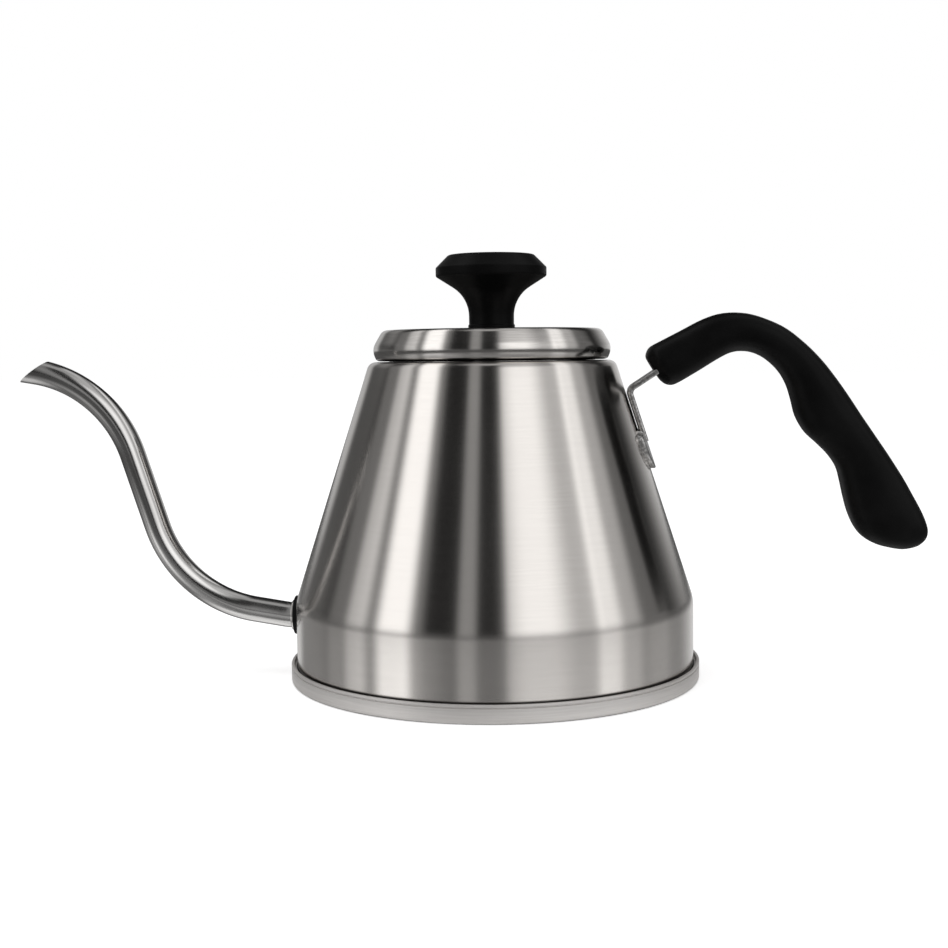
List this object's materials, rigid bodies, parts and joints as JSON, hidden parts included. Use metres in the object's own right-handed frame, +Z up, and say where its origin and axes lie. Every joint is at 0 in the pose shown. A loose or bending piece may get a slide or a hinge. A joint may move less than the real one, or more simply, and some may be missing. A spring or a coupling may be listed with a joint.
{
  "type": "gooseneck kettle",
  "caption": "Stove-top pour-over kettle: conical brushed steel body, slim curved spout, lift-off lid with black knob, moulded black handle on a steel strap.",
  "frame": {"origin": "middle of the flat underside, on the table", "axes": "+Z up, spout towards -X, handle towards +X"},
  "size_m": [0.311, 0.14, 0.1439],
  "materials": {
    "brushed_steel": "fine brushing round the body",
    "lid_steel": "bright brushing round the lid",
    "satin_steel": "satin rim",
    "tube_steel": "brushed along the tube",
    "strap_steel": "bead-blasted pressing",
    "plain_steel": "mill finish",
    "screw_steel": "plain machined",
    "spreader": "rolled",
    "brass": "turned",
    "knob_plastic": "matte moulded",
    "grip_plastic": "satin moulded",
    "seal_rubber": "moulded silicone"
  },
  "bodies": {
    "kettle": {"body_shell": "brushed_steel", "bottom_pan": "plain_steel", "base_core": "spreader", "base_cap": "satin_steel", "spout_tube": "tube_steel", "spout_stop": "tube_steel", "spout_gasket": "seal_rubber", "spout_inner_seal": "seal_rubber", "spout_washer": "plain_steel", "spout_nut": "plain_steel", "handle_bracket": "strap_steel", "handle_grip": "grip_plastic", "grip_insert": "brass", "grip_screw": "screw_steel"},
    "lid": {"lid_shell": "lid_steel", "lid_skirt": "plain_steel", "lid_knob": "knob_plastic", "knob_insert": "brass", "knob_seal": "seal_rubber", "knob_washer": "plain_steel", "knob_screw": "screw_steel"}
  },
  "joints": [
    {"name": "lid_lift", "type": "slide", "parent": "kettle", "child": "lid", "axis": [0, 0, 1], "range_m": [0, 0.06]}
  ]
}
